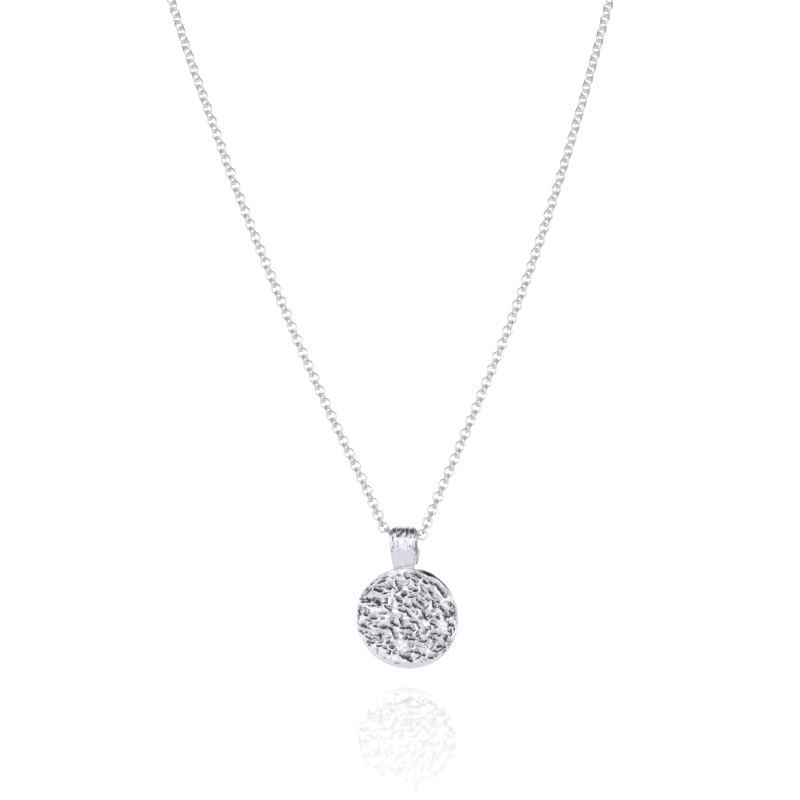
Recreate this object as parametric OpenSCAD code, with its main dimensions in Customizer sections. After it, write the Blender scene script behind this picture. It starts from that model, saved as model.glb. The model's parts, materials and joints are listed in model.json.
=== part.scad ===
// Silver charm necklace: a rolo chain of round links that carries a cast, cratered disc on a strip bail.
// Millimetres, +Z up, the wearer faces -Y. The origin is the nape of the neck, where the chain hangs.

/* [Disc] */
// Diameter of the disc
disc_d = 18.3; // [14:0.1:24]
// Thickness of the disc
disc_t = 2.5; // [1.8:0.1:3.2]
// Radius of the rounded edge all round the disc
edge_r = 0.65; // [0.4:0.05:0.8]
// Depth of the craters in the front face
crater_depth = 0.5; // [0.2:0.05:0.8]
// Height of the raised lip round each crater
lip_h = 0.1; // [0:0.02:0.2]
// Height of the low swells over the whole face
swell_h = 0.1; // [0:0.02:0.2]
// Rings of facets from the centre of the face to its edge
face_rings = 34; // [12:1:36]

/* [Bail] */
// Bore of the bail, which the chain runs through
bore_d = 3.4; // [3:0.1:4]
// Thickness of the folded strip
strip_t = 0.5; // [0.4:0.02:0.9]
// Greatest width of the strip, beside the bore
strip_w = 4.6; // [3.6:0.1:5.5]
// Distance from the bore's axis down to the centre of the disc
drop = 14.35; // [13:0.05:16]
// How far the disc's centre lies to the right of the bail's
disc_shift = 0.75; // [-1:0.05:1]
// How far each leg of the strip bellies out under the bore
belly = 0.42; // [0:0.02:0.5]
// Angle that the pendant is turned on the chain, to the wearer's right
pendant_turn = 8; // [0:1:15]

/* [Chain] */
// Outer diameter of a link
link_od = 2.08; // [1.8:0.02:2.4]
// Diameter of a link's wire
wire_d = 0.36; // [0.3:0.02:0.44]
// Free play between the wires of two linked links
link_play = 0.12; // [0.12:0.01:0.16]
// Linked pairs on each side of the pendant, before the plain stretch behind the neck
pairs = 59; // [1:1:60]

/* [Clasp] */
// Outer diameter of the bolt ring
clasp_od = 6; // [5:0.5:8]
// Wire of the bolt ring
clasp_wire = 1.1; // [0.9:0.1:1.4]
// Outer diameter of the small eye on the bolt ring
eye_od = 2.5; // [2.2:0.1:3]
// Outer diameter of the end ring
end_ring_od = 3.8; // [3:0.1:5]
// Wire of the eye and the end ring
ring_wire = 0.6; // [0.5:0.1:0.8]

/* [Hidden] */
silver = [0.78, 0.79, 0.82];

// Centre of the bail's bore, on the joint's axis
hinge = [0.6, -88, -144];
disc_r = disc_d / 2;
face_r = disc_r - edge_r;
bore_r = bore_d / 2;
bail_r = bore_r + strip_t;

// Craters of the face, charted by eye, from the top row to the bottom one.
// Columns: right, up, half length, half width and turn of each
craters = [
    [0.05, 7.85, 0.5, 0.3, -50], [1.05, 8.1, 0.6, 0.22, 0], [1.35, 7.15, 0.5, 0.22, -15],
    [-4.55, 6.75, 0.7, 0.25, 20], [-1.55, 6.15, 0.9, 0.42, -60], [-3.25, 5.75, 0.5, 0.27, 0],
    [-1.95, 5.2, 0.45, 0.22, 10], [-5.15, 5.2, 0.8, 0.32, -5], [-4.95, 5.9, 0.9, 0.22, 5],
    [-3.85, 4.75, 0.5, 0.22, 10], [-6.75, 5.05, 0.45, 0.22, 30], [0.4, 5.75, 0.32, 0.28, 0],
    [1.35, 6.25, 0.3, 0.27, 0], [1.35, 5.4, 0.37, 0.32, 0], [3.35, 6.85, 0.5, 0.36, -20],
    [4.35, 6.65, 0.7, 0.26, -50], [5.35, 6.05, 0.8, 0.26, -45], [2.8, 5.45, 0.85, 0.27, -55],
    [4.45, 4.65, 0.9, 0.32, -40], [6.35, 4.75, 0.8, 0.34, -60], [-0.65, 4.45, 0.42, 0.36, 0],
    [0.6, 4.2, 0.42, 0.27, 20], [2.45, 4.55, 0.42, 0.26, -30], [-1.55, 3.55, 0.6, 0.38, -20],
    [-6.85, 3.45, 0.5, 0.45, 0], [-7.55, 2.95, 0.55, 0.22, 10], [-5.35, 3.25, 0.85, 0.45, -35],
    [-3.75, 3.3, 0.4, 0.25, 90], [2.25, 3.4, 0.85, 0.36, -40], [3.45, 3.75, 0.45, 0.3, -45],
    [4.75, 3.15, 0.7, 0.42, -60], [6.35, 2.15, 0.85, 0.42, -50], [7.35, 3.05, 0.36, 0.34, 0],
    [0.05, 2.55, 0.7, 0.25, -45], [1.15, 2.65, 0.6, 0.3, -40], [3.2, 2.45, 0.35, 0.32, 0],
    [-3.45, 2.05, 0.8, 0.22, -45], [-7.35, 1.25, 0.7, 0.35, 80], [-4.25, 1.15, 0.6, 0.23, -15],
    [-5.95, 0.3, 0.55, 0.36, -10], [-0.85, 1.75, 0.65, 0.25, -10], [0.3, 1.05, 0.8, 0.33, -45],
    [2.95, 1.25, 0.95, 0.45, -50], [4.05, 0.75, 0.5, 0.3, -30], [6.75, 0.95, 0.6, 0.42, 30],
    [7.45, 1.75, 0.45, 0.3, -45], [7.35, -0.25, 0.7, 0.36, -20], [-6.75, -0.25, 0.7, 0.24, -20],
    [-2.45, -0.65, 0.8, 0.3, -20], [-0.55, -0.35, 0.45, 0.35, -30], [-0.45, -1.25, 0.5, 0.4, 0],
    [0.75, -1.35, 0.6, 0.36, -20], [1.95, -0.85, 0.6, 0.25, -70], [3.35, -1.65, 0.6, 0.5, 75],
    [4.55, -0.65, 0.65, 0.27, -30], [-7.65, -1.25, 0.65, 0.3, -35], [-5.65, -1.2, 0.5, 0.25, 0],
    [-4.35, -1.25, 0.6, 0.36, 0], [-2.95, -1.55, 0.4, 0.3, -20], [-2.45, -2.65, 0.95, 0.3, -70],
    [-4.65, -2.95, 0.8, 0.45, 80], [-6.85, -3.05, 0.8, 0.27, -15], [7.45, -1.85, 0.5, 0.28, 70],
    [0.35, -3.05, 0.95, 0.5, -10], [2.6, -3.6, 0.65, 0.3, -15], [4.85, -2.2, 0.75, 0.24, -5],
    [4.55, -3.05, 0.7, 0.36, -15], [7.05, -3.25, 0.5, 0.36, -10], [-6.15, -4.05, 0.3, 0.28, 0],
    [-3.45, -3.85, 0.42, 0.3, 30], [-2.75, -4.65, 0.36, 0.36, 0], [-4.75, -4.75, 0.7, 0.22, 10],
    [5.35, -4.15, 0.45, 0.36, 0], [6.35, -4.55, 0.6, 0.28, 30], [5.05, -5.25, 0.75, 0.22, 10],
    [-3.05, -5.65, 0.3, 0.25, 90], [1.85, -5.45, 0.45, 0.42, 0], [1.95, -6.35, 0.5, 0.27, 30],
    [-0.45, -6.35, 0.95, 0.5, -15], [4.35, -6.45, 0.7, 0.27, 0]
];

// A crater is as deep as it is wide, up to the full depth, with a low lip outside it
function crater_reach(p, c) =
    let(x = p.x - c[0], y = p.y - c[1])
    norm([(x * cos(c[4]) + y * sin(c[4])) / c[2], (y * cos(c[4]) - x * sin(c[4])) / c[3]]);
function crater_drop(p, c) =
    let(q = crater_reach(p, c))
    q < 1 ? crater_depth * min(1, c[3] / 0.35) * (1 - pow(q, 3)) : 0;
function crater_lip(p, c) = max(0, 1 - abs(crater_reach(p, c) - 1.25) / 0.3) * lip_h;
function swell(p) = swell_h * (sin(75 * p.x + 50 * sin(40 * p.y)) + sin(95 * p.y - 35 * p.x)) / 2;
function relief(p) =
    let(sink = max([for (c = craters) crater_drop(p, c)]))
    swell(p) + (sink > 0 ? sink : -max([for (c = craters) crater_lip(p, c)]));

// Points of the face on rings of 6, 12, 18 ... round its centre, and the facets between them
function ring_point(i, j) = let(r = face_r * i / face_rings, a = 60 * j / i) [r * cos(a), r * sin(a)];
function ring_index(i, j) = i == 0 ? 0 : 1 + 3 * i * (i - 1) + j % (6 * i);
face_points = [[0, 0], for (i = [1:face_rings]) for (j = [0:6 * i - 1]) ring_point(i, j)];
face_facets = [for (i = [1:face_rings]) for (k = [0:5]) each concat(
    [for (j = [0:i - 1])
        [ring_index(i, k * i + j), ring_index(i, k * i + j + 1), ring_index(i - 1, k * (i - 1) + j)]],
    [for (j = [1:1:i - 1])
        [ring_index(i, k * i + j), ring_index(i - 1, k * (i - 1) + j),
            ring_index(i - 1, k * (i - 1) + j - 1)]]
)];

// Rings of points round the disc's edge, from the face to the back. Columns: radius and depth
edge_rings = [
    for (a = [30, 60, 90]) [face_r + edge_r * sin(a), -disc_t / 2 + edge_r * (1 - cos(a))],
    for (a = [90, 45, 0]) [face_r + edge_r * sin(a), disc_t / 2 - edge_r * (1 - cos(a))]
];

// Route of the chain's left half, as seen from the front, from inside the bail to the clasp.
// Columns: the three coordinates, and the compass turn of the facing links: 0 looks to the front, 90 left
route_left = [
    [-0.9, -87.8, -143.6, 8], [-3.0, -87.6, -142.2, 9], [-4.2, -87.8, -139.1, 13],
    [-6.1, -87.7, -134.9, 17], [-8.1, -87.4, -130.7, 19], [-12.1, -86.6, -122.4, 20],
    [-17.7, -84.9, -110, 20], [-22.9, -82.7, -97.6, 21], [-27.9, -80.1, -85.3, 23], [-32.5, -77, -73, 28],
    [-37, -73.5, -60.7, 38], [-40.4, -70, -50.5, 50], [-44.2, -63.5, -38.5, 62], [-47.8, -53, -27, 76],
    [-50, -39, -16.5, 90], [-48, -25, -8.5, 115], [-40, -12, -3.2, 138], [-28, -3.5, -0.8, 158],
    [-15, 0.2, -0.1, 172], [-4.3, 1, 0, 180]
];
// The same for the right half, whose links turn the other way
route_right = [
    [1.5, -88.1, -143.6, 8], [4.0, -88.4, -143.35, 6], [4.9, -88.3, -141.1, -7], [6.6, -87.8, -136.9, -14],
    [9.3, -87.1, -130.8, -18], [12.8, -85.9, -122.5, -19], [18.0, -83.4, -110.1, -21],
    [22.7, -80.2, -97.9, -25], [27.0, -76.3, -85.6, -30], [31.0, -71.8, -73.2, -38],
    [34.7, -66.7, -60.8, -45], [37.5, -62.1, -51.2, -52], [41.2, -54.5, -38.6, -62],
    [45.6, -43.5, -26.5, -76], [48.2, -31, -16.5, -92], [46, -18.5, -8.5, -118], [38.5, -8, -3.2, -142],
    [28, -2, -0.9, -160], [16, 0.5, -0.1, -172], [5.44, 1, 0, -180]
];

// A smooth curve through the rows of a route, with this many straight steps between two rows
steps = 8;
function row_gap(a, b) = norm([b.x - a.x, b.y - a.y, b.z - a.z]);
function row_slope(rows, i) =
    let(a = rows[max(i - 1, 0)], b = rows[min(i + 1, len(rows) - 1)], m = rows[i])
    (b - a) / (row_gap(a, m) + row_gap(m, b));
function curve_row(rows, i, t) =
    let(d = row_gap(rows[i], rows[i + 1]))
    rows[i] * (2 * t * t * t - 3 * t * t + 1) + rows[i + 1] * (3 * t * t - 2 * t * t * t)
    + row_slope(rows, i) * d * (t * t * t - 2 * t * t + t) + row_slope(rows, i + 1) * d * (t * t * t - t * t);
function curve(rows) = [
    for (i = [0:len(rows) - 2]) for (j = [0:steps - 1]) curve_row(rows, i, j / steps),
    rows[len(rows) - 1]
];
function lengths(line) = [
    for (i = 0, s = 0; i < len(line);
        s = s + (i + 1 < len(line) ? row_gap(line[i], line[i + 1]) : 0), i = i + 1) s
];
// Four lookup tables of a route: each coordinate and the turn by the length along it
function tables(rows) =
    let(line = curve(rows), s = lengths(line))
    [for (c = [0:3]) [for (i = [0:len(line) - 1]) [s[i], line[i][c]]]];
function end_of(t) = t[0][len(t[0]) - 1][0];
function at(t, s) = [lookup(s, t[0]), lookup(s, t[1]), lookup(s, t[2])];
function facing(t, s) = let(a = lookup(s, t[3])) [-sin(a), -cos(a), 0];
function unit(v) = v / norm(v);

left = tables(route_left);
right = tables(route_right);

// Pitch that the links' sizes give, and the pitch near it that fills each half with whole links.
// The left half ends in an edge-on link and the right one in a facing link
link_r = (link_od - wire_d) / 2;
pitch = 2 * link_r - wire_d - link_play;
left_n = 2 * ceil((end_of(left) / pitch - 1) / 2) + 1;
right_n = 2 * ceil(end_of(right) / pitch / 2);
left_pitch = end_of(left) / left_n;
right_pitch = end_of(right) / right_n;

module ring(centre, normal, od, wire, smooth = 24) {
    translate(centre) rotate([0, acos(normal.z), atan2(normal.y, normal.x)])
        rotate_extrude($fn = 2 * smooth) translate([(od - wire) / 2, 0]) circle(d = wire, $fn = smooth);
}
module facing_link(t, s, p) {
    along = unit(at(t, s + p) - at(t, s - p));
    look = facing(t, s);
    ring(at(t, s), unit(look - (look * along) * along), link_od, wire_d);
}
module edge_link(t, s, p) {
    a = at(t, s - p);
    b = at(t, s + p);
    ring((a + b) / 2, unit(cross(unit(b - a), facing(t, s))), link_od, wire_d);
}
module chain_half(t, p) {
    for (k = [0:pairs - 1]) {
        facing_link(t, 2 * k * p, p);
        edge_link(t, (2 * k + 1) * p, p);
    }
}

// Plain round stretch behind the neck, a little slimmer than the links, with a gap at each end
tube_sides = 8;
tube_r = 0.95 * link_od / 2;
tube_step = 5;
tube_gap = 0.3;
module chain_tube(t, p) {
    from = (2 * pairs - 1) * p + link_od / 2 + tube_gap;
    to = end_of(t) - tube_gap;
    n = ceil((to - from) / tube_step);
    points = [for (i = [0:n]) let(
        s = from + (to - from) * i / n,
        along = unit(at(t, s + 1) - at(t, s - 1)),
        look = facing(t, s),
        u = unit(look - (look * along) * along),
        v = cross(along, u)
    ) for (j = [0:tube_sides - 1])
        let(a = 360 * j / tube_sides) at(t, s) + tube_r * (u * cos(a) + v * sin(a))];
    sides = [for (i = [0:n - 1]) for (j = [0:tube_sides - 1])
        let(a = i * tube_sides + j, b = i * tube_sides + (j + 1) % tube_sides)
        each [[a, b, a + tube_sides], [b, b + tube_sides, a + tube_sides]]];
    polyhedron(points, concat(sides, [
        [for (j = [tube_sides - 1:-1:0]) j], [for (j = [0:tube_sides - 1]) n * tube_sides + j]
    ]));
}

module disc() {
    n = 6 * face_rings;
    first = len(face_points) - n;
    last = first + len(edge_rings) * n;
    points = concat(
        [for (p = face_points) [p.x, -disc_t / 2 + (norm(p) < face_r - 0.01 ? relief(p) : 0), p.y]],
        [for (e = edge_rings) for (j = [0:n - 1]) let(a = 360 * j / n) [e[0] * cos(a), e[1], e[0] * sin(a)]]
    );
    strips = [for (k = [0:len(edge_rings) - 1]) for (j = [0:n - 1])
        let(a = first + k * n + j, b = first + k * n + (j + 1) % n)
        each [[a, a + n, b], [b, a + n, b + n]]];
    polyhedron(points, concat(face_facets, strips, [[for (j = [0:n - 1]) last + j]]));
}

// The strip from the side: round over a drop-shaped bore, then two legs that meet, belly out and end
// on the disc
foot = [0.95, -5.9];
bore_tip = -2.6;
tip_r = 0.1;
belly_z = -1.3;
lean = atan2(foot.y, foot.x) + acos(bail_r / norm(foot));
out = [cos(lean), sin(lean)];
function bellied(z) =
    z > belly_z ? belly * pow(max(z / belly_z, 0), 1.4) : belly * (z - foot.y) / (belly_z - foot.y);
function leg_reach(z) =
    (z > bail_r * out.y ? sqrt(bail_r * bail_r - z * z) : (bail_r - z * out.y) / out.x) + bellied(z);
leg_steps = 14;
leg_heights = [for (i = [0:leg_steps]) foot.y * i / leg_steps];
module strip_skin() {
    circle(r = bail_r, $fn = 96);
    polygon([
        for (z = leg_heights) [leg_reach(z), z],
        for (i = [leg_steps:-1:0]) [-leg_reach(leg_heights[i]), leg_heights[i]]
    ]);
}
module strip_side() {
    difference() {
        strip_skin();
        hull() {
            circle(r = bore_r, $fn = 96);
            translate([0, bore_tip + tip_r]) circle(r = tip_r, $fn = 24);
        }
    }
}
// Outline of the strip from the front: a narrower crown, shoulders beside the bore, and a narrower foot
module strip_front() {
    w = strip_w / 2;
    polygon([
        [-0.6 * w, bail_r + 0.1], [0.8 * w, bail_r + 0.1], [0.9 * w, bail_r - 0.15], [0.97 * w, 1.6], [w, 1],
        [w, -2.6], [0.97 * w, -4.2], [0.9 * w, -5.2], [0.88 * w, -6],
        [-0.74 * w, -6], [-0.79 * w, -4.6], [-0.86 * w, -3], [-0.95 * w, -1.2], [-w, 0.1], [-0.97 * w, 0.8],
        [-0.9 * w, 1.3], [-0.76 * w, 1.9]
    ]);
}
module bail() {
    intersection() {
        rotate([90, 0, 90]) linear_extrude(height = strip_w + 1, center = true) strip_side();
        rotate([90, 0, 0]) linear_extrude(height = 3 * bail_r, center = true) strip_front();
    }
}
module pendant() {
    color(silver) translate(hinge) rotate([0, 0, -pendant_turn]) {
        bail();
        translate([disc_shift, 0, -drop]) disc();
    }
}

module chain_left() { color(silver) chain_half(left, left_pitch); }
module chain_right() {
    color(silver) {
        edge_link_between();
        chain_half(right, right_pitch);
    }
}
// The edge-on link inside the bail that joins the two halves
module edge_link_between() {
    a = at(left, 0);
    b = at(right, 0);
    ring((a + b) / 2, unit(cross(unit(b - a), facing(right, 0))), link_od, wire_d);
}
module chain_back_left() { color(silver) chain_tube(left, left_pitch); }
module chain_back_right() { color(silver) chain_tube(right, right_pitch); }

// Centres at the nape: the bolt ring's hoop, its eye and the end ring that hangs in the hoop
nape_y = 1;
hoop_x = 0.5;
eye_sink = 0.2;
hoop_r = (clasp_od - clasp_wire) / 2;
eye_r = (eye_od - ring_wire) / 2;
end_r = (end_ring_od - ring_wire) / 2;
module clasp() {
    color(silver) {
        ring([hoop_x, nape_y, 0], [0, 1, 0], clasp_od, clasp_wire);
        ring([hoop_x - hoop_r - eye_r - eye_sink, nape_y, 0], [0, 1, 0], eye_od, ring_wire);
    }
}
module end_ring() {
    x = hoop_x + hoop_r - clasp_wire / 2 - ring_wire / 2 - link_play + end_r;
    color(silver) ring([x, nape_y, 0], [0, 0, 1], end_ring_od, ring_wire);
}

pendant();
chain_left();
chain_right();
chain_back_left();
chain_back_right();
clasp();
end_ring();
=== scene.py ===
"""Looks of a silver charm necklace: rolo chain, cast and pitted pendant, clasp and studio."""

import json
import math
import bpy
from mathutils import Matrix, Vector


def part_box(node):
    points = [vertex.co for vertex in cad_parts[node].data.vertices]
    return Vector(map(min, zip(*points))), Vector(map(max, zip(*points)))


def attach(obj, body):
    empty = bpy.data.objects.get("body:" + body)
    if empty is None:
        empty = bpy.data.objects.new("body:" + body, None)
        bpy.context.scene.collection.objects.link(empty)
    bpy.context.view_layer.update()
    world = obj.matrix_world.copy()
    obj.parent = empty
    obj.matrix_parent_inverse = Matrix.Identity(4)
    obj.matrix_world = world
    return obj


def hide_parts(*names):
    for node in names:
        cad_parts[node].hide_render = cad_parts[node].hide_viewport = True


bl_info = {
    "name": "Pitted Charm Necklace",
    "version": (1, 0, 0),
    "blender": (4, 5, 0),
    "location": "View3D > Sidebar > Necklace",
    "description": "Builds a silver rolo chain with a cast, pitted disc pendant around its packed solids",
    "category": "Add Mesh",
}

import bmesh
import bpy
from bpy.props import FloatProperty, FloatVectorProperty, IntProperty, PointerProperty
from mathutils import Matrix, Vector, kdtree, noise

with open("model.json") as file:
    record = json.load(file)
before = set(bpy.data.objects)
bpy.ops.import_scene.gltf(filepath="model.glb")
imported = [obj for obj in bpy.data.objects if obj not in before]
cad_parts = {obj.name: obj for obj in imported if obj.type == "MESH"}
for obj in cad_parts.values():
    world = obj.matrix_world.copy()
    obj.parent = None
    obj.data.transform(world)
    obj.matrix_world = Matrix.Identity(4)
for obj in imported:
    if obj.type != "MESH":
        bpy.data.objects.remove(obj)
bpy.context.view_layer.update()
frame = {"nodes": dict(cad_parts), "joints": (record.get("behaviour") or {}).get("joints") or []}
swing = frame["joints"][0]

# Routes, charts and marks are in millimetres, and each piece is scaled to metres as it is finished
MM = 0.001

# Route of the chain's left half, as seen from the front, from inside the bail to the clasp.
# Columns: the three coordinates, and the compass turn of the facing links
ROUTE_LEFT = (
    (-0.9, -87.8, -143.6, 8), (-3.0, -87.6, -142.2, 9), (-4.2, -87.8, -139.1, 13),
    (-6.1, -87.7, -134.9, 17), (-8.1, -87.4, -130.7, 19), (-12.1, -86.6, -122.4, 20),
    (-17.7, -84.9, -110, 20), (-22.9, -82.7, -97.6, 21), (-27.9, -80.1, -85.3, 23), (-32.5, -77, -73, 28),
    (-37, -73.5, -60.7, 38), (-40.4, -70, -50.5, 50), (-44.2, -63.5, -38.5, 62), (-47.8, -53, -27, 76),
    (-50, -39, -16.5, 90), (-48, -25, -8.5, 115), (-40, -12, -3.2, 138), (-28, -3.5, -0.8, 158),
    (-15, 0.2, -0.1, 172), (-4.3, 1, 0, 180),
)
# The same for the right half, from inside the bail to the end ring
ROUTE_RIGHT = (
    (1.5, -88.1, -143.6, 8), (4.0, -88.4, -143.35, 6), (4.9, -88.3, -141.1, -7), (6.6, -87.8, -136.9, -14),
    (9.3, -87.1, -130.8, -18), (12.8, -85.9, -122.5, -19), (18.0, -83.4, -110.1, -21),
    (22.7, -80.2, -97.9, -25), (27.0, -76.3, -85.6, -30), (31.0, -71.8, -73.2, -38),
    (34.7, -66.7, -60.8, -45), (37.5, -62.1, -51.2, -52), (41.2, -54.5, -38.6, -62),
    (45.6, -43.5, -26.5, -76), (48.2, -31, -16.5, -92), (46, -18.5, -8.5, -118), (38.5, -8, -3.2, -142),
    (28, -2, -0.9, -160), (16, 0.5, -0.1, -172), (5.44, 1, 0, -180),
)
# Straight steps from each row of a route to the next, along which its length is measured
ROUTE_STEPS = 8

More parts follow.
